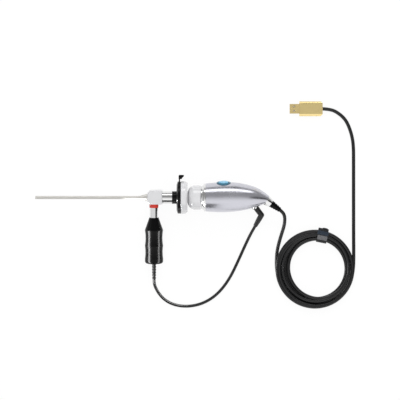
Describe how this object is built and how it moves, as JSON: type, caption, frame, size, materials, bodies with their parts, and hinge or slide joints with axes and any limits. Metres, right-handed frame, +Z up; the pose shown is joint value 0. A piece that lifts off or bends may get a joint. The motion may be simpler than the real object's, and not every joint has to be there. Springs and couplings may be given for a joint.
{
  "type": "usb endoscope",
  "caption": "Rigid scope with a hanging light source, spring clamp coupler with focus ring, silver camera handpiece with button, and coiled USB cord.",
  "frame": {"origin": "centre of the footprint of the rigid parts, without the cords and their plugs, on the surface that the endoscope lies on", "axes": "+X from the scope's tip towards the handpiece's cable end, +Y away from the light source, +Z up from the surface"},
  "size_m": [0.3995, 0.2592, 0.0408],
  "materials": {
    "shaft_steel": "fine satin",
    "plated_head": "satin nickel plate",
    "bright_metal": "polished",
    "red_mark": "anodised red",
    "glass": "clear",
    "infrared_glass": "tinted",
    "fibre": "glass fibre",
    "black_plastic": "fine matt",
    "bare_aluminium": "machined",
    "board_white": "solder mask",
    "led_yellow": "phosphor",
    "black_rubber": "satin",
    "cord_black": "smooth jacket",
    "board_green": "solder mask",
    "spring_steel": "plain",
    "white_enamel": "gloss white",
    "silver_paint": "metallic silver lacquer",
    "teal_bezel": "gloss",
    "blue_button": "gloss",
    "switch_plastic": "moulded",
    "sensor_dark": "ceramic package",
    "tie_fabric": "hook and loop strap",
    "gold_shell": "gold plate, polished",
    "tongue_plastic": "moulded"
  },
  "bodies": {
    "camera": {"clamp_cover": "black_plastic", "jaw_spring": "spring_steel", "coupler_housing": "white_enamel", "mount_thread": "bare_aluminium", "chrome_ring": "bright_metal", "left_shell": "silver_paint", "right_shell": "silver_paint", "shell_screws": "spring_steel", "tail_ring": "bright_metal", "cable_boot": "black_rubber", "button_bezel": "teal_bezel", "button_switch": "switch_plastic", "sensor_board": "board_green", "image_sensor": "sensor_dark", "infrared_filter": "infrared_glass", "main_board": "board_green", "dc_jack": "bright_metal", "light_plug": "cord_black", "light_cord": "cord_black", "usb_cord_head": "cord_black", "usb_coil": "cord_black", "usb_cord_tail": "cord_black", "cord_tie": "tie_fabric", "usb_plug_housing": "gold_shell", "usb_shell": "gold_shell", "usb_tongue": "tongue_plastic", "usb_contacts": "gold_shell"},
    "scope": {"scope_tube": "shaft_steel", "tube_cone": "shaft_steel", "image_tube": "shaft_steel", "distal_window": "glass", "rod_lenses": "glass", "light_fibre_bundle": "fibre", "scope_head": "plated_head", "light_post": "bright_metal", "red_ring": "red_mark", "eyepiece_tube": "bright_metal", "ocular_lens": "glass", "eyecup": "black_plastic", "eyepiece_window": "glass", "light_adapter": "bare_aluminium", "condenser_lens": "glass", "led_board": "board_white", "led_chip": "led_yellow", "heat_sink": "bare_aluminium", "light_grip": "black_rubber", "driver_board": "board_green", "light_end_cap": "bare_aluminium", "light_strain_relief": "black_rubber"},
    "jaw": {"jaw_slide": "black_plastic"},
    "focus": {"focus_ring": "white_enamel"},
    "lens": {"lens_cell": "bare_aluminium", "coupler_lens": "glass"},
    "button": {"button_cap": "blue_button"}
  },
  "joints": [
    {"name": "scope_turn", "type": "hinge", "parent": "camera", "child": "scope", "pos_m": [0.02796, 0.03676, 0.0204], "axis": [-1, 0, 0], "range_deg": [0, 90], "deforming": ["light_cord"]},
    {"name": "jaw_press", "type": "slide", "parent": "camera", "child": "jaw", "axis": [0, -1, 0], "range_m": [0, 0.002], "stiffness_N_per_m": 2000, "springref_m": -0.001, "deforming": ["jaw_spring"]},
    {"name": "focus_turn", "type": "hinge", "parent": "camera", "child": "focus", "pos_m": [0.02796, 0.03676, 0.0204], "axis": [1, 0, 0], "range_deg": [-60, 60]},
    {"name": "lens_travel", "type": "slide", "parent": "camera", "child": "lens", "axis": [1, 0, 0], "range_m": [-0.001, 0.001]},
    {"name": "button_press", "type": "slide", "parent": "camera", "child": "button", "axis": [0, -0.9397, -0.342], "range_m": [0, 0.0006], "stiffness_N_per_m": 2000, "springref_m": -0.0003}
  ],
  "couplings": [
    {"joint": "lens_travel", "follows": "focus_turn", "m_per_rad": 0.00095}
  ]
}
